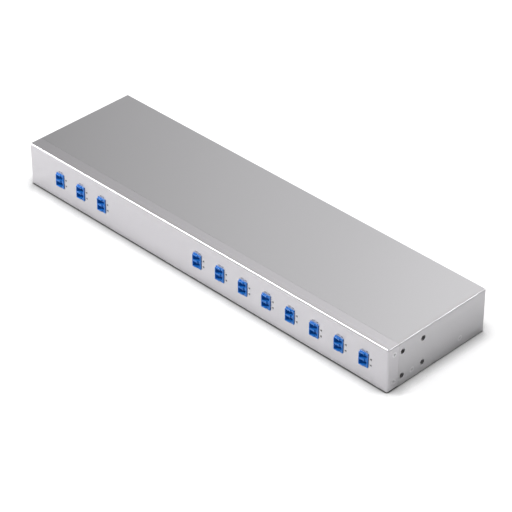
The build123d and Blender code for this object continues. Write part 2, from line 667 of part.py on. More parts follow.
# Monitor tap couplers, their holder and their leads
for number, y in enumerate(COUPLER_ROWS, start=1):
    with BuildPart() as tap_coupler:
        with Locations((SPOOL_X, y, COUPLER_HEIGHT)):
            Cylinder(COUPLER_RADIUS, COUPLER_LENGTH, rotation=(0, 90, 0))
    save(tap_coupler.part, f"tap_coupler_{number}")
with BuildPart() as coupler_holder:
    with Locations((SPOOL_X, sum(COUPLER_ROWS) / 2, SHEET)):
        Box(
            HOLDER_BLOCK_LENGTH,
            COUPLER_PITCH + 2 * (COUPLER_RADIUS + HOLDER_BLOCK_MARGIN),
            HOLDER_BLOCK_TOP - SHEET,
            align=(Align.CENTER, Align.CENTER, Align.MIN),
        )
    fillet(coupler_holder.edges().filter_by(Axis.Z), FOLD_RADIUS)
    with Locations(*[(SPOOL_X, y, COUPLER_HEIGHT) for y in COUPLER_ROWS]):
        Cylinder(COUPLER_RADIUS + PRESS_GAP, HOLDER_BLOCK_LENGTH, rotation=(0, 90, 0), mode=Mode.SUBTRACT)
save(coupler_holder.part, "coupler_holder")
with BuildPart() as coupler_leads:
    for side in (-1, 1):
        for row, y in enumerate(COUPLER_ROWS):
            lead_offset = LOOM_Y - SPOOL_Y + LEAD_PITCH * (0.5 - row)
            corner_x = SPOOL_X + side * lead_offset
            points = [
                (SPOOL_X + side * COUPLER_LENGTH / 2, y, COUPLER_HEIGHT),
                (corner_x, y, COUPLER_HEIGHT),
                (corner_x, SPOOL_Y - coil_reach(lead_offset, LEAD_RADIUS), COUPLER_HEIGHT),
            ]
            add(fibre(points, LEAD_RADIUS, COUPLER_BEND))
save(coupler_leads.part, "coupler_leads")

# Clips on the rear wall that hold the fibre lanes
LANE_CLIP_PATH = [
    (LANE_CLIP_FRONT_Y, LANE_CLIP_TOP_Z - LANE_CLIP_HOOK),
    (LANE_CLIP_FRONT_Y, LANE_CLIP_TOP_Z),
    (REAR_Y - SHEET, LANE_CLIP_TOP_Z),
    (REAR_Y - SHEET, LANE_CLIP_BOTTOM_Z),
    (LANE_CLIP_FRONT_Y, LANE_CLIP_BOTTOM_Z),
    (LANE_CLIP_FRONT_Y, LANE_CLIP_BOTTOM_Z + LANE_CLIP_HOOK),
]
with BuildPart() as lane_clips:
    for x in LANE_CLIP_PLACES:
        with BuildSketch(Plane.YZ.offset(x)):
            with BuildLine():
                Polyline(*LANE_CLIP_PATH)
                offset(amount=LANE_CLIP_WALL, side=Side.RIGHT, kind=Kind.INTERSECTION)
            make_face()
        extrude(amount=LANE_CLIP_WIDTH / 2, both=True)
save(lane_clips.part, "lane_clips")
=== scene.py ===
"""Looks of a coarse wavelength division multiplexer in a flat sheet metal case.

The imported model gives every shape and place. This script gives the shell smooth folds,
makes the repeated adapters, screws and printed marks with geometry nodes, gives each
piece its finish and sets the studio and the camera.
"""
from __future__ import annotations

import logging
import math
from dataclasses import dataclass
from dataclasses import field
from enum import Enum
from typing import Any
from typing import Iterable
from typing import Sequence

import bmesh
import bpy
from mathutils import Matrix
from mathutils import Vector

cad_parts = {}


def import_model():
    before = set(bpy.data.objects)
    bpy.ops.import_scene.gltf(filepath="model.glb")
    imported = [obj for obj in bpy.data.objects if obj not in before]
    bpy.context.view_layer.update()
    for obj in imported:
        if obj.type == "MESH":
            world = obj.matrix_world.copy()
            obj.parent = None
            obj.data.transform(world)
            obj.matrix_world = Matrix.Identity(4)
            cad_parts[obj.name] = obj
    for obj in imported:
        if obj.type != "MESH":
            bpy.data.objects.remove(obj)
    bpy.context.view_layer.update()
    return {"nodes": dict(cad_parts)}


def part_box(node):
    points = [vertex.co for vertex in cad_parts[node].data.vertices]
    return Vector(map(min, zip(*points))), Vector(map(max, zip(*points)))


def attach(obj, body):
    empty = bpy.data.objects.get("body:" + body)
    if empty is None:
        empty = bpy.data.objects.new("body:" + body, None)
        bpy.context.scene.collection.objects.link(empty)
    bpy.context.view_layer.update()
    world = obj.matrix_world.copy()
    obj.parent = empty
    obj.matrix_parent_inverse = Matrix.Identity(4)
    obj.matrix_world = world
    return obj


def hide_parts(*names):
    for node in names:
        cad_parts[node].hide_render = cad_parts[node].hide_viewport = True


LOG = logging.getLogger("multiplexer")
MM = 0.001
BODY = "root"


class Side(Enum):
    """Side of the case, as the sign of its place along X."""

    LEFT = -1
    RIGHT = 1


class Slot(Enum):
    """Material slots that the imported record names."""

    CASE = "case_metal"
    SCREW = "screw_steel"
    ADAPTER = "adapter_plastic"
    SLEEVE = "sleeve_ceramic"


def linear(hex_colour: str) -> tuple[float, float, float, float]:
    """Turn an sRGB hex colour into linear values.

    Args:
        hex_colour: Colour such as "#C8CACD".

    Returns:
        Red, green, blue and alpha in linear light.
    """
    levels = [int(hex_colour[i:i + 2], 16) / 255 for i in (1, 3, 5)]
    values = [v / 12.92 if v <= 0.04045 else ((v + 0.055) / 1.055) ** 2.4 for v in levels]
    return (values[0], values[1], values[2], 1.0)


def add_node(
    tree: bpy.types.NodeTree,
    kind: str,
    settings: dict[str, Any] | None = None,
    inputs: dict[str | int, Any] | None = None,
) -> bpy.types.Node:
    """Add a node with its settings, input values and links.

    Args:
        tree: Node tree that takes the node.
        kind: Blender's identifier of the node type.
        settings: Properties of the node by name.
        inputs: Values, or output sockets to link, by input name or number.

    Returns:
        The new node.
    """
    node = tree.nodes.new(kind)
    for name, value in (settings or {}).items():
        setattr(node, name, value)
    for key, value in (inputs or {}).items():
        if isinstance(value, bpy.types.NodeSocket):
            tree.links.new(value, node.inputs[key])
        else:
            node.inputs[key].default_value = value
    return node


def math_node(
    tree: bpy.types.NodeTree,
    operation: str,
    *values: bpy.types.NodeSocket | float,
) -> bpy.types.NodeSocket:
    """Add a math node.

    Args:
        tree: Node tree that takes the node.
        operation: Blender's identifier of the operation.
        values: What it works on, in order: numbers, or output sockets to link.

    Returns:
        The socket with the result.
    """
    node = add_node(tree, "ShaderNodeMath", {"operation": operation}, dict(enumerate(values)))
    return node.outputs[0]


@dataclass(frozen=True)
class Finish:
    """A surface: a base colour with fine grain in its tone, roughness and relief.

    grain_mm is the real width of the grain, and relief_mm its height. grain_detail is the
    number of finer layers in it, and grain_falloff the share that each of them keeps.
    """

    name: str
    colour: str
    roughness: float
    metallic: float = 0.0
    grain_mm: float = 0.6
    relief_mm: float = 0.002
    tone_change: float = 0.03
    roughness_change: float = 0.04
    grain_detail: float = 2.0
    grain_falloff: float = 0.55

    def shifted_colour(self, share: float) -> tuple[float, ...]:
        """Base colour times a share, in linear light."""
        return tuple(min(1.0, v * share) for v in linear(self.colour)[:3]) + (1.0,)

    def material(self) -> bpy.types.Material:
        """Build the material, or find it if it was built before.

        Returns:
            The material with its nodes.
        """
        found = bpy.data.materials.get(self.name)
        if found is not None:
            return found
        material = bpy.data.materials.new(self.name)
        material.use_nodes = True
        tree = material.node_tree
        tree.nodes.clear()
        place = add_node(tree, "ShaderNodeTexCoord")
        grain = add_node(
            tree,
            "ShaderNodeTexNoise",
            inputs={
                "Vector": place.outputs["Object"],
                "Scale": 1 / (self.grain_mm * MM),
                "Detail": self.grain_detail,
                "Roughness": self.grain_falloff,
            },
        )
        dark = self.shifted_colour(1 - self.tone_change)
        light = self.shifted_colour(1 + self.tone_change)
        tone = add_node(
            tree,
            "ShaderNodeMix",
            {"data_type": "RGBA"},
            {0: grain.outputs["Fac"], 6: dark, 7: light},
        )
        rough = add_node(
            tree,
            "ShaderNodeMapRange",
            inputs={
                "Value": grain.outputs["Fac"],
                "To Min": self.roughness - self.roughness_change,
                "To Max": self.roughness + self.roughness_change,
            },
        )
        relief = add_node(
            tree,
            "ShaderNodeBump",
            inputs={
                "Height": grain.outputs["Fac"],
                "Distance": self.relief_mm * MM,
                "Strength": 1.0,
            },
        )
        surface = add_node(
            tree,
            "ShaderNodeBsdfPrincipled",
            inputs={
                "Base Color": tone.outputs[2],
                "Metallic": self.metallic,
                "Roughness": rough.outputs["Result"],
                "Normal": relief.outputs["Normal"],
            },
        )
        add_node(
            tree,
            "ShaderNodeOutputMaterial",
            inputs={"Surface": surface.outputs["BSDF"]},
        )
        return material


# Powder coat with fine aluminium flake on rolled steel sheet: an even, soft silver sheen
PANEL_COAT = Finish("silver_powder_coat_panel", "#C8C6C9", 0.36, metallic=1.0, grain_mm=0.5)
COVER_COAT = Finish("silver_powder_coat_cover", "#C1C0C2", 0.36, metallic=1.0, grain_mm=0.5)
TRAY_COAT = Finish("silver_powder_coat_tray", "#C1C0C2", 0.38, metallic=1.0, grain_mm=0.5)
# Nickel plated steel screws: close to the sheet in tone, with a turned surface
SCREW_STEEL = Finish("nickel_plated_steel", "#D4D3D5", 0.36, metallic=1.0, grain_mm=0.2)
# Zinc plated weld nuts: slightly warm and duller
NUT_STEEL = Finish("zinc_plated_steel", "#B9B7AE", 0.42, metallic=1.0, grain_mm=0.3)
# Spring steel strip of the adapter clips
SPRING_STEEL = Finish("spring_steel_strip", "#A9ABAE", 0.3, metallic=1.0, grain_mm=0.2)
# Blue PBT, injection moulded: satin, faintly glossy on its edges
BLUE_PBT = Finish("blue_moulded_pbt", "#2078D2", 0.34, grain_mm=0.3, relief_mm=0.004)
# Zirconia ceramic sleeves: smooth, warm white
ZIRCONIA = Finish("zirconia_ceramic", "#E9E6DC", 0.18, grain_mm=0.4, relief_mm=0.0005)
# Silk screen ink on the panel: flat dark grey
SCREEN_INK = Finish("screen_ink", "#232428", 0.6, grain_mm=0.15, relief_mm=0.002)
# Black anodised aluminium shells of the filter modules
ANODISED_SHELL = Finish("black_anodised_aluminium", "#26272A", 0.4, metallic=0.6, grain_mm=0.4)
# Black nylon mouldings: spool, lane clips and coupler holder
BLACK_NYLON = Finish("black_moulded_nylon", "#17181A", 0.5, grain_mm=0.4, relief_mm=0.006)
# Yellow jacket of single mode fibre: satin, with a slight unevenness of its tone
YELLOW_JACKET = Finish("yellow_fibre_jacket", "#E2B71B", 0.42, grain_mm=0.4, relief_mm=0.004)
# Stainless steel tubes of the tap couplers
COUPLER_TUBE = Finish("stainless_steel_tube", "#B4B6B8", 0.28, metallic=1.0, grain_mm=0.2)


def collect(piece: bpy.types.Object) -> bpy.types.Object:
    """Put an object in the scene."""
    bpy.context.scene.collection.objects.link(piece)
    return piece


def finished_mesh(name: str, shape: bmesh.types.BMesh) -> bpy.types.Mesh:
    """Turn a shape that is being edited into a mesh, and free the shape.

    Args:
        name: Name of the mesh.
        shape: Shape, not to be used afterwards.

    Returns:
        The mesh.
    """
    mesh = bpy.data.meshes.new(name)
    shape.to_mesh(mesh)
    shape.free()
    return mesh


def circle(radius: float, steps: int) -> list[tuple[float, float]]:
    """Points of a circle round the origin, in order."""
    angles = [2 * math.pi * i / steps for i in range(steps)]
    return [(radius * math.cos(angle), radius * math.sin(angle)) for angle in angles]


def add_ring(
    shape: bmesh.types.BMesh,
    points_mm: Iterable[tuple[float, float, float]],
) -> list[bmesh.types.BMVert]:
    """Add points to a shape, given in millimetres.

    Args:
        shape: Shape that takes the points.
        points_mm: Points in order.

    Returns:
        The new points in the same order.
    """
    return [shape.verts.new((x * MM, y * MM, z * MM)) for x, y, z in points_mm]


def join_rings(
    shape: bmesh.types.BMesh,
    first: Sequence[bmesh.types.BMVert],
    second: Sequence[bmesh.types.BMVert],
) -> None:
    """Add a band of faces between two rings with the same number of points.

    Args:
        shape: Shape that takes the faces.
        first: One ring, in order.
        second: The other ring, in order.
    """
    steps = len(first)
    for i in range(steps):
        j = (i + 1) % steps
        shape.faces.new((first[i], first[j], second[j], second[i]))


def give(piece: bpy.types.Object, finish: Finish) -> bpy.types.Object:
    """Give a piece one finish in place of what it has.

    Args:
        piece: Mesh object.
        finish: Surface that it takes.

    Returns:
        The piece.
    """
    piece.data.materials.clear()
    piece.data.materials.append(finish.material())
    return piece


def merged_copy(
    node: bpy.types.Object,
    merge_mm: float = 0.002,
    flat_angle: float = 0.6,
) -> bmesh.types.BMesh:
    """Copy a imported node's triangles as a closed shape with whole flat faces.

    Args:
        node: Packed object.
        merge_mm: Corners that are no farther apart become one.
        flat_angle: Largest angle in degrees that counts as flat.

    Returns:
        The shape, to be freed by its user.
    """
    shape = bmesh.new()
    shape.from_mesh(node.data)
    bmesh.ops.remove_doubles(shape, verts=shape.verts, dist=merge_mm * MM)
    bmesh.ops.dissolve_limit(
        shape,
        angle_limit=math.radians(flat_angle),
        use_dissolve_boundaries=False,
        verts=shape.verts,
        edges=shape.edges,
    )
    return shape


def smooth_by_angle(mesh: bpy.types.Mesh, angle: float = 32.0) -> None:
    """Shade a mesh smooth, with sharp edges where its faces meet at more than an angle.

    Args:
        mesh: Mesh to shade.
        angle: Sharp from this angle on, in degrees.
    """
    shape = bmesh.new()
    shape.from_mesh(mesh)
    for face in shape.faces:
        face.smooth = True
    for edge in shape.edges:
        bend = edge.calc_face_angle(math.pi)
        edge.smooth = bend < math.radians(angle)
    shape.to_mesh(mesh)
    shape.free()


def plain_mesh(piece: bpy.types.Object) -> bpy.types.Mesh:
    """Turn an object's modifiers into its own plain mesh.

    Args:
        piece: Object with modifiers.

    Returns:
        The new mesh, which the object now has, with no modifier left.
    """
    depsgraph = bpy.context.evaluated_depsgraph_get()
    depsgraph.update()
    mesh = bpy.data.meshes.new_from_object(piece.evaluated_get(depsgraph), depsgraph=depsgraph)
    piece.modifiers.clear()
    piece.data = mesh
    return mesh


def weigh_normals(piece: bpy.types.Object) -> None:
    """Keep flat faces flat and folds smooth by weighing normals with face area."""
    modifier = piece.modifiers.new("weighted_normals", "WEIGHTED_NORMAL")
    modifier.keep_sharp = True
    modifier.weight = 100
    plain_mesh(piece)


@dataclass
class CaseShell:
    """Front panel, cover and tray, with smooth folds."""

    nodes: dict[str, bpy.types.Object]
    finishes: dict[str, Finish] = field(
        default_factory=lambda: {
            "front_panel": PANEL_COAT,
            "top_cover": COVER_COAT,
            "chassis_tray": TRAY_COAT,
        }
    )

    def build(self) -> list[bpy.types.Object]:
        """Make the three folded pieces.

        Returns:
            The pieces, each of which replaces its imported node.
        """
        return [self.folded_piece(name) for name in self.finishes]

    def folded_piece(self, name: str) -> bpy.types.Object:
        """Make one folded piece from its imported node.

        Args:
            name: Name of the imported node.

        Returns:
            The piece.
        """
        mesh = finished_mesh(f"{name}_sheet", merged_copy(self.nodes[name]))
        piece = collect(bpy.data.objects.new(f"{name}_sheet", mesh))
        smooth_by_angle(mesh)
        weigh_normals(piece)
        give(piece, self.finishes[name])
        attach(piece, BODY)
        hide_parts(name)
        return piece


@dataclass
class PlaceTree:
    """Geometry nodes that set one piece at each point of a mesh, turned by its attribute."""

    name: str

    def build(self) -> bpy.types.NodeTree:
        """Build the tree.

        Returns:
            The node group, with inputs for the places, the piece and its finish.
        """
        tree = bpy.data.node_groups.new(self.name, "GeometryNodeTree")
        interface = tree.interface
        interface.new_socket("Places", in_out="INPUT", socket_type="NodeSocketGeometry")
        interface.new_socket("Piece", in_out="INPUT", socket_type="NodeSocketObject")
        interface.new_socket("Finish", in_out="INPUT", socket_type="NodeSocketMaterial")
        interface.new_socket("Pieces", in_out="OUTPUT", socket_type="NodeSocketGeometry")
        given = add_node(tree, "NodeGroupInput")
        piece = add_node(
            tree,
            "GeometryNodeObjectInfo",
            inputs={"Object": given.outputs["Piece"]},
        )
        turn = add_node(
            tree,
            "GeometryNodeInputNamedAttribute",
            {"data_type": "FLOAT_VECTOR"},
            {"Name": "turn"},
        )
        placed = add_node(
            tree,
            "GeometryNodeInstanceOnPoints",
            inputs={
                "Points": given.outputs["Places"],
                "Instance": piece.outputs["Geometry"],
                "Rotation": turn.outputs["Attribute"],
            },
        )
        real = add_node(
            tree,
            "GeometryNodeRealizeInstances",
            inputs={"Geometry": placed.outputs["Instances"]},
        )
        dressed = add_node(
            tree,
            "GeometryNodeSetMaterial",
            inputs={"Geometry": real.outputs["Geometry"], "Material": given.outputs["Finish"]},
        )
        add_node(tree, "NodeGroupOutput", inputs={"Pieces": dressed.outputs["Geometry"]})
        return tree


@dataclass
class Repeats:
    """Sets a piece at many places with the place tree and keeps the result as a plain mesh."""

    tree: bpy.types.NodeTree

    def spread(
        self,
        name: str,
        piece: bpy.types.Object,
        places: Sequence[Vector],
        finish: Finish,
        turns: Sequence[Vector] = (),
    ) -> bpy.types.Object:
        """Set a piece at each place.

        Args:
            name: Name of the result.
            piece: Piece to repeat, made round the origin. It is removed afterwards.
            places: Points in metres.
            finish: Surface of the pieces.
            turns: Euler angles in radians, one for each place. Without them none is turned.

        Returns:
            One object that holds them all.
        """
        points = bpy.data.meshes.new(f"{name}_places")
        points.from_pydata([tuple(p) for p in places], [], [])
        attribute = points.attributes.new("turn", "FLOAT_VECTOR", "POINT")
        for i, turn in enumerate(turns):
            attribute.data[i].vector = turn
        result = collect(bpy.data.objects.new(name, points))
        modifier = result.modifiers.new("places", "NODES")
        modifier.node_group = self.tree
        values = {"Piece": piece, "Finish": finish.material()}
        for item in self.tree.interface.items_tree:
            if item.item_type == "SOCKET" and item.name in values:
                modifier[item.identifier] = values[item.name]
        mesh = plain_mesh(result)
        mesh.name = name
        bpy.data.objects.remove(piece)
        bpy.data.meshes.remove(points)
        return result


@dataclass
class AdapterRow:
    """The front halves of the duplex LC adapters and the ceramic sleeves between the halves."""

    nodes: dict[str, bpy.types.Object]
    repeats: Repeats
    count: int = 11
    edge_mm: float = 0.12
    edge_angle: float = 40.0
    sleeve_length_mm: float = 12.0
    sleeve_radius_mm: float = 1.56
    sleeve_bore_mm: float = 0.63
    sleeve_edge_mm: float = 0.2
    sleeve_steps: int = 24
    port_x_mm: float = -1.6
    port_pitch_mm: float = 6.25
    middle_mm: float = 11.0
    front_mm: float = -60.0
    height_mm: float = 21.8

    def names(self) -> list[str]:
        """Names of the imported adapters."""
        return [f"lc_adapter_{i:02d}" for i in range(1, self.count + 1)]

    def centres(self) -> list[Vector]:
        """Centre of each adapter on the panel's front face, in metres."""
        found = []
        for name in self.names():
            low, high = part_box(name)
            found.append(Vector(((low.x + high.x) / 2, self.front_mm * MM, self.height_mm * MM)))
        return found

    def build(self) -> list[bpy.types.Object]:
        """Make the adapters and the sleeves in them.

        Returns:
            The row of adapters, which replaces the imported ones, and the sleeves.
        """
        centres = self.centres()
        shape = merged_copy(self.nodes[self.names()[0]])
        bmesh.ops.translate(shape, verts=shape.verts, vec=-centres[0])
        source = collect(bpy.data.objects.new("adapter", finished_mesh("adapter", shape)))
        bevel = source.modifiers.new("mould_edge", "BEVEL")
        bevel.width = self.edge_mm * MM
        bevel.segments = 2
        bevel.limit_method = "ANGLE"
        bevel.angle_limit = math.radians(self.edge_angle)
        bevel.harden_normals = True
        smooth_by_angle(plain_mesh(source))
        weigh_normals(source)
        row = self.repeats.spread("adapter_row", source, centres, BLUE_PBT)
        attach(row, BODY)
        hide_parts(*self.names())
        return [row, self.sleeves(centres)]

    def sleeves(self, centres: Sequence[Vector]) -> bpy.types.Object:
        """Make the ceramic sleeves, whose ends show deep in each port.

        Args:
            centres: Centre of each adapter.

        Returns:
            One object with every sleeve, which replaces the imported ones.
        """
        shape = bmesh.new()
        half = self.sleeve_length_mm / 2
        edge = self.sleeve_edge_mm
        profile = [
            (-half + edge, self.sleeve_bore_mm),
            (-half, self.sleeve_bore_mm + edge),
            (-half, self.sleeve_radius_mm - edge),
            (-half + edge, self.sleeve_radius_mm),
            (half - edge, self.sleeve_radius_mm),
            (half, self.sleeve_radius_mm - edge),
            (half, self.sleeve_bore_mm + edge),
            (half - edge, self.sleeve_bore_mm),
        ]
        rings = [
            add_ring(shape, [(x, y, z) for x, z in circle(radius, self.sleeve_steps)])
            for y, radius in profile
        ]
        for first, second in zip(rings, rings[1:] + rings[:1]):
            join_rings(shape, first, second)
        bmesh.ops.recalc_face_normals(shape, faces=shape.faces)
        mesh = finished_mesh("sleeve", shape)
        smooth_by_angle(mesh)
        source = collect(bpy.data.objects.new("sleeve", mesh))
        places = [
            centre + Vector((self.port_x_mm, self.middle_mm, side * self.port_pitch_mm / 2)) * MM
            for centre in centres
            for side in (-1, 1)
        ]
        sleeves = self.repeats.spread("sleeve_row", source, places, ZIRCONIA)
        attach(sleeves, BODY)
        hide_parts("sleeve_holders")
        return sleeves


@dataclass
class PanelPrint:
    """Screen printed marks: numbers over each adapter and two arrows beside its ports."""

    centres: Sequence[Vector]
    repeats: Repeats
    line_count: int = 3
    first_wave: int = 1471
    wave_step: int = 20
    number_height_mm: float = 1.15
    number_rise_mm: float = 8.4
    number_weight_mm: float = 0.06
    number_side_mm: float = 0.5
    number_spacing: float = 1.25
    size_per_height: float = 1.45
    arrow_side_mm: float = 7.1
    arrow_rise_mm: float = 3.0
    arrow_width_mm: float = 2.3
    arrow_height_mm: float = 2.3
    ink_mm: float = 0.02

    def build(self) -> list[bpy.types.Object]:
        """Print the numbers and the arrows.

        Returns:
            The numbers and the arrows, one object each.
        """
        pieces = [self.numbers(), self.arrows()]
        for piece in pieces:
            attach(piece, BODY)
        return pieces

    def label(self, index: int) -> str:
        """Port numbers of one line adapter, or the wavelength of one channel adapter."""
        if index < self.line_count:
            return f"{2 * index + 1:02d} {2 * index + 2:02d}"
        return f"{self.first_wave + self.wave_step * (index - self.line_count)} nm"

    def numbers(self) -> bpy.types.Object:
        """Make the port numbers and the wavelengths as one thin layer of ink.

        Returns:
            The numbers.
        """
        sheet = bmesh.new()
        for index, centre in enumerate(self.centres):
            text = bpy.data.curves.new("number", "FONT")
            text.body = self.label(index)
            text.align_x = "CENTER"
            text.size = self.number_height_mm * MM * self.size_per_height
            text.space_character = self.number_spacing
            text.resolution_u = 2
            text.offset = self.number_weight_mm * MM
            text.extrude = self.ink_mm * MM / 2
            holder = collect(bpy.data.objects.new("number", text))
            mesh = bpy.data.meshes.new_from_object(holder)
            place = Matrix.Translation(
                centre + Vector((self.number_side_mm, -self.ink_mm / 2, self.number_rise_mm)) * MM
            )
            mesh.transform(place @ Matrix.Rotation(math.radians(90), 4, "X"))
            sheet.from_mesh(mesh)
            bpy.data.objects.remove(holder)
            bpy.data.meshes.remove(mesh)
        mesh = finished_mesh("port_numbers", sheet)
        return give(collect(bpy.data.objects.new("port_numbers", mesh)), SCREEN_INK)

    def arrows(self) -> bpy.types.Object:
        """Make the arrow marks beside the ports.

        Returns:
            The arrows.
        """
        shape = bmesh.new()
        half = self.arrow_width_mm / 2
        tip = [(-half, 0), (half, self.arrow_height_mm / 2), (half, -self.arrow_height_mm / 2)]
        front = add_ring(shape, [(x, -self.ink_mm, z) for x, z in tip])
        back = add_ring(shape, [(x, 0, z) for x, z in tip])
        shape.faces.new(front)
        shape.faces.new(back)
        join_rings(shape, front, back)
        bmesh.ops.recalc_face_normals(shape, faces=shape.faces)
        source = collect(bpy.data.objects.new("arrow", finished_mesh("arrow", shape)))
        places = [
            centre + Vector((self.arrow_side_mm, 0, side * self.arrow_rise_mm)) * MM
            for centre in self.centres
            for side in (-1, 1)
        ]
        return self.repeats.spread("port_arrows", source, places, SCREEN_INK)


@dataclass
class CaseScrews:
    """Countersunk screws with a cross recess, in the panel's flanges and the cover's skirts."""

    repeats: Repeats
    half_width_mm: float = 220.0
    head_mm: float = 2.75
    head_edge_mm: float = 0.08
    shank_mm: float = 1.5
    length_mm: float = 6.0
    tip_mm: float = 0.4
    recess_mm: float = 1.4
    recess_depth_mm: float = 1.4
    recess_waist: float = 0.42
    recess_low_size: float = 0.6
    steps: int = 48
    spin_step: float = 0.4
    middle_mm: float = 21.8
    panel_y_mm: float = -52.3
    panel_spacing_mm: float = 27.5
    cover_y_mm: float = 30.0
    cover_z_mm: float = 8.5

    def places(self, node: str) -> list[tuple[Side, float, float]]:
        """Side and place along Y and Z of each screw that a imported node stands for.

        Args:
            node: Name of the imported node.

        Returns:
            One entry for each screw, in millimetres.
        """
        if node == "panel_screws":
            spots = [
                (self.panel_y_mm, self.middle_mm + step * self.panel_spacing_mm / 2)
                for step in (-1, 1)
            ]
        else:
            spots = [(step * self.cover_y_mm, self.cover_z_mm) for step in (-1, 1)]
        return [(side, y, z) for side in Side for y, z in spots]

    def turn(self, side: Side, spin: float) -> Vector:
        """Turn that lays a screw's head on a side of the case.

        Args:
            side: Side that the head faces.
            spin: Turn of the screw round its own axis, in radians.

        Returns:
            The turn as Euler angles.
        """
        laid = Matrix.Rotation(side.value * math.pi / 2, 3, "Y")
        spun = Matrix.Rotation(spin, 3, "Z")
        return Vector((laid @ spun).to_euler())

    def screw(self) -> bpy.types.Object:
        """Make one screw round the origin, its head's top at the origin and facing +Z.

        Returns:
            The screw.
        """
        shape = bmesh.new()
        edge = self.head_edge_mm
        profile = [
            (self.head_mm - edge, 0.0),
            (self.head_mm, -edge),
            (self.head_mm, -2 * edge),
            (self.shank_mm, self.shank_mm - self.head_mm - 2 * edge),
            (self.shank_mm, self.tip_mm - self.length_mm),
            (self.shank_mm - self.tip_mm, -self.length_mm),
        ]
        outside = [
            add_ring(shape, [(x, y, z) for x, y in circle(radius, self.steps)])
            for radius, z in profile
        ]
        recess_top = self.recess_ring(shape, 0.0, 1.0)
        recess_low = self.recess_ring(shape, -self.recess_depth_mm, self.recess_low_size)
        rings = [recess_low, recess_top, *outside]
        for upper, lower in zip(rings, rings[1:]):
            join_rings(shape, upper, lower)
        shape.faces.new(rings[0])
        shape.faces.new(rings[-1])
        bmesh.ops.recalc_face_normals(shape, faces=shape.faces)
        mesh = finished_mesh("screw", shape)
        smooth_by_angle(mesh)
        return collect(bpy.data.objects.new("screw", mesh))

    def recess_ring(
        self,
        shape: bmesh.types.BMesh,
        z_mm: float,
        size: float,
    ) -> list[bmesh.types.BMVert]:
        """Add the outline of a cross recess at one height.

        Args:
            shape: Shape that takes the points.
            z_mm: Height.
            size: Share of the full size.

        Returns:
            The points in order.
        """
        points = []
        for x, y in circle(self.recess_mm * size, self.steps):
            arm = abs(math.cos(2 * math.atan2(y, x))) ** 3
            share = self.recess_waist + (1 - self.recess_waist) * arm
            points.append((x * share, y * share, z_mm))
        return add_ring(shape, points)

    def build(self) -> list[bpy.types.Object]:
        """Set the screws in their countersinks.

        Returns:
            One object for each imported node.
        """
        pieces = []
        for node in ("panel_screws", "cover_screws"):
            spots = self.places(node)
            places = [Vector((side.value * self.half_width_mm, y, z)) * MM for side, y, z in spots]
            turns = [self.turn(side, self.spin_step * i) for i, (side, _, _) in enumerate(spots)]
            piece = self.repeats.spread(f"{node}_recessed", self.screw(), places, SCREW_STEEL, turns)
            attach(piece, BODY)
            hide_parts(node)
            pieces.append(piece)
        return pieces


@dataclass
class InnerWorks:
    """The closed-in pieces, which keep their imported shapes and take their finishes."""

    nodes: dict[str, bpy.types.Object]
    finishes: dict[str, Finish] = field(
        default_factory=lambda: {
            "adapter_rear_halves": BLUE_PBT,
            "adapter_clips": SPRING_STEEL,
            "panel_nuts": NUT_STEEL,
            "cover_nuts": NUT_STEEL,
            "rack_ear_nuts": NUT_STEEL,
            "module_screws": SCREW_STEEL,
            "spool_screws": SCREW_STEEL,
            "mux_module": ANODISED_SHELL,
            "demux_module": ANODISED_SHELL,
            "fibre_spool": BLACK_NYLON,
            "lane_clips": BLACK_NYLON,
            "coupler_holder": BLACK_NYLON,
            "fibre_coil": YELLOW_JACKET,
            "line_tails": YELLOW_JACKET,
            "channel_tails": YELLOW_JACKET,
            "mux_loom": YELLOW_JACKET,
            "demux_loom": YELLOW_JACKET,
            "coupler_leads": YELLOW_JACKET,
            "tap_coupler_1": COUPLER_TUBE,
            "tap_coupler_2": COUPLER_TUBE,
        }
    )

    def build(self) -> list[bpy.types.Object]:
        """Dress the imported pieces.

        Returns:
            The pieces that were dressed.
        """
        dressed = [give(self.nodes[name], finish) for name, finish in self.finishes.items()]
        plugs = [node for name, node in self.nodes.items() if name.startswith("plug_pair")]
        return dressed + [give(plug, BLUE_PBT) for plug in plugs]


@dataclass(frozen=True)
class Softbox:
    """Large square lamp that looks at the object."""

    name: str
    place: tuple[float, float, float]
    target: tuple[float, float, float]
    size: float
    power: float

    def build(self) -> bpy.types.Object:
        """Hang the lamp.

        Returns:
            The lamp.
        """
        lamp = bpy.data.lights.new(self.name, "AREA")
        lamp.shape = "SQUARE"
        lamp.size = self.size
        lamp.energy = self.power
        holder = collect(bpy.data.objects.new(self.name, lamp))
        aim = Vector(self.target) - Vector(self.place)
        holder.location = self.place
        holder.rotation_euler = aim.to_track_quat("-Z", "Y").to_euler()
        return holder


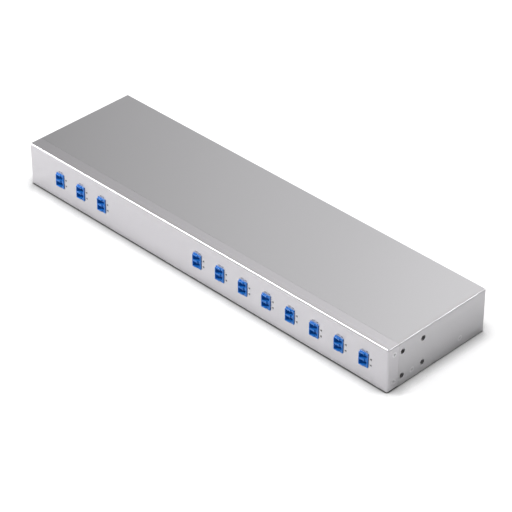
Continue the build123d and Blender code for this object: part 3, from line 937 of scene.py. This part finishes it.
@dataclass
class Studio:
    """Pale floor, plain world and softboxes.

    The floor glows a little on top of the lamps' light: by floor_glow where the camera sees
    it, and by mirror_glow where a sheet mirrors it. A painted contact shade darkens its colour
    and glow towards the case, over contact_shade_reach_mm and, in the seam under the case, over
    seam_shade_reach_mm.
    """

    floor_size: float = 12.0
    floor_colour: str = "#BCBCBD"
    floor_roughness: float = 0.22
    floor_specular: float = 0.4
    floor_glow: float = 0.68
    mirror_glow: float = 0.44
    # Painted contact shade on the floor: samples, reach and darkness near the case and in the seam
    # under it
    contact_shade_samples: int = 12
    contact_shade_reach_mm: float = 15.0
    contact_shade_depth: float = 1.75
    mirror_contact_shade_depth: float = 1.0
    seam_shade_reach_mm: float = 1.7
    seam_shade_depth: float = 1.5
    # Painted shadow on the floor beside the right side, seen only in what the sheets mirror
    side_x_mm: float = 220.0
    front_y_mm: float = -50.0
    shade_width_mm: float = 26.0
    shade_loss: float = 0.64
    world_level: float = 0.25
    lamps: tuple[Softbox, ...] = (
        Softbox("key_left", (-1.4, -1.2, 1.9), (0.0, 0.0, 0.0), 0.75, 52.0),
        Softbox("back_left", (-0.35, 0.75, 0.75), (0.15, 0.0, 0.0), 0.7, 0.37),
        Softbox("back_right", (0.0, 0.6, 0.6), (0.15, 0.0, 0.0), 0.6, 0.49),
        Softbox("back_wide", (-0.8, 1.2, 1.2), (0.0, 0.0, 0.0), 1.4, 3.3),
        Softbox("edge_right", (1.2, 1.2, 1.35), (0.2, 0.0, 0.0), 0.4, 8.8),
        Softbox("fill_front", (1.3, -1.3, 1.2), (0.1, 0.0, 0.0), 1.0, 6.0),
        Softbox("left_end", (-0.55, -0.35, 0.12), (-0.2, -0.1, 0.02), 0.3, 0.7),
    )

    def build(self) -> None:
        """Set up the floor, the world and the lamps."""
        self.floor()
        self.world()
        for lamp in self.lamps:
            lamp.build()

    def floor(self) -> bpy.types.Object:
        """Lay the floor.

        Returns:
            The floor, marked as stage.
        """
        half = self.floor_size / 2
        mesh = bpy.data.meshes.new("floor")
        corners = [(-half, -half, 0), (half, -half, 0), (half, half, 0), (-half, half, 0)]
        mesh.from_pydata(corners, [], [(0, 1, 2, 3)])
        floor = collect(bpy.data.objects.new("floor", mesh))
        material = bpy.data.materials.new("studio_floor")
        material.use_nodes = True
        tree = material.node_tree
        tree.nodes.clear()
        path = add_node(tree, "ShaderNodeLightPath")
        seen = path.outputs["Is Camera Ray"]
        depth = add_node(
            tree,
            "ShaderNodeMapRange",
            inputs={
                "Value": seen,
                "To Min": self.mirror_contact_shade_depth,
                "To Max": self.contact_shade_depth,
            },
        )
        # Painted contact shade: occlusion darkens the floor's colour towards black and dims its glow
        # near the case
        wide_shade = self.painted_shade_share(tree, self.contact_shade_reach_mm, depth.outputs["Result"])
        seam_shade = self.painted_shade_share(tree, self.seam_shade_reach_mm, self.seam_shade_depth)
        painted_contact_shade = math_node(tree, "MULTIPLY", wide_shade, seam_shade)
        colour = add_node(
            tree,
            "ShaderNodeMix",
            {"data_type": "RGBA"},
            {0: painted_contact_shade, 6: linear("#000000"), 7: linear(self.floor_colour)},
        )
        mirrored = math_node(
            tree,
            "MAXIMUM",
            path.outputs["Is Glossy Ray"],
            path.outputs["Is Transmission Ray"],
        )
        mirror_glow = math_node(tree, "MULTIPLY", mirrored, self.mirror_glow)
        # The mirrored glow carries the painted shadow beside the right side
        mirror_level = math_node(tree, "MULTIPLY", mirror_glow, self.side_shade(tree))
        level = math_node(tree, "MULTIPLY_ADD", seen, self.floor_glow, mirror_level)
        surface = add_node(
            tree,
            "ShaderNodeBsdfPrincipled",
            inputs={
                "Base Color": colour.outputs[2],
                "Roughness": self.floor_roughness,
                "Specular IOR Level": self.floor_specular,
                "Emission Color": linear("#FFFFFF"),
                "Emission Strength": math_node(tree, "MULTIPLY", level, painted_contact_shade),
            },
        )
        add_node(
            tree,
            "ShaderNodeOutputMaterial",
            inputs={"Surface": surface.outputs["BSDF"]},
        )
        mesh.materials.append(material)
        return floor

    def painted_shade_share(
        self,
        tree: bpy.types.NodeTree,
        reach_mm: float,
        depth: bpy.types.NodeSocket | float,
    ) -> bpy.types.NodeSocket:
        """Paint shade on the floor towards what stands on it.

        Args:
            tree: Node tree of the floor's material.
            reach_mm: Distance over which it darkens.
            depth: Exponent: more is darker.

        Returns:
            The share left after the painted shade: 1 in the open.
        """
        near = add_node(
            tree,
            "ShaderNodeAmbientOcclusion",
            {"samples": self.contact_shade_samples},
            {"Distance": reach_mm * MM},
        )
        return math_node(tree, "POWER", near.outputs["AO"], depth)

    def side_shade(self, tree: bpy.types.NodeTree) -> bpy.types.NodeSocket:
        """Paint shadow on the strip of floor that the right side mirrors, where the side's own
        shadow falls.

        Args:
            tree: Node tree of the floor's material.

        Returns:
            The share of light left: 1 away from that strip.
        """
        place = add_node(tree, "ShaderNodeTexCoord")
        along = add_node(tree, "ShaderNodeSeparateXYZ", inputs={0: place.outputs["Object"]})
        beside = math_node(tree, "GREATER_THAN", along.outputs["X"], self.side_x_mm * MM)
        behind = math_node(tree, "GREATER_THAN", along.outputs["Y"], self.front_y_mm * MM)
        strip = math_node(tree, "MULTIPLY", beside, behind)
        loss = add_node(
            tree,
            "ShaderNodeMapRange",
            inputs={
                "Value": along.outputs["X"],
                "From Min": self.side_x_mm * MM,
                "From Max": (self.side_x_mm + self.shade_width_mm) * MM,
                "To Min": -self.shade_loss,
                "To Max": 0.0,
            },
        )
        return math_node(tree, "MULTIPLY_ADD", strip, loss.outputs["Result"], 1.0)

    def world(self) -> None:
        """Set an even world at one plain level."""
        world = bpy.data.worlds.new("studio")
        bpy.context.scene.world = world
        world.use_nodes = True
        tree = world.node_tree
        tree.nodes.clear()
        sky = add_node(
            tree,
            "ShaderNodeBackground",
            inputs={"Color": linear("#FFFFFF"), "Strength": self.world_level},
        )
        add_node(tree, "ShaderNodeOutputWorld", inputs={"Surface": sky.outputs["Background"]})


@dataclass
class PhotoCamera:
    """Camera at the photograph's angle."""

    azimuth: float = 45.0
    elevation: float = 35.264
    distance: float = 1.9995
    target: tuple[float, float, float] = (0.0295, -0.02973, 0.0218)
    lens_mm: float = 163.27
    sensor_mm: float = 36.0
    shift: tuple[float, float] = (0.01717, 0.00934)
    far_clip: float = 50.0

    def build(self) -> bpy.types.Object:
        """Place the camera and make it the scene's own.

        Returns:
            The camera.
        """
        lens = bpy.data.cameras.new("photo_camera")
        lens.lens = self.lens_mm
        lens.sensor_width = self.sensor_mm
        lens.shift_x, lens.shift_y = self.shift
        lens.clip_end = self.far_clip
        camera = collect(bpy.data.objects.new("photo_camera", lens))
        across = math.radians(self.azimuth)
        up = math.radians(self.elevation)
        away = Vector((
            math.sin(across) * math.cos(up),
            -math.cos(across) * math.cos(up),
            math.sin(up),
        ))
        camera.location = Vector(self.target) + away * self.distance
        camera.rotation_euler = (-away).to_track_quat("-Z", "Y").to_euler()
        bpy.context.scene.camera = camera
        return camera


def report(name: str, pieces: Iterable[bpy.types.Object]) -> None:
    """Log the pieces of one sub-assembly."""
    LOG.info("%s: %s", name, ", ".join(piece.name for piece in pieces))


def main() -> None:
    """Build the looks, the studio and the camera in order."""
    logging.basicConfig(level=logging.INFO, format="%(name)s: %(message)s")
    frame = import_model()
    nodes = frame["nodes"]
    PhotoCamera().build()
    repeats = Repeats(PlaceTree("pieces_at_places").build())
    report("case", CaseShell(nodes).build())
    adapters = AdapterRow(nodes, repeats)
    report("adapters", adapters.build())
    report("print", PanelPrint(adapters.centres(), repeats).build())
    report("screws", CaseScrews(repeats).build())
    report("inner works", InnerWorks(nodes).build())
    Studio().build()
    bpy.context.scene.view_settings.view_transform = "Standard"


if __name__ == "__main__":
    main()
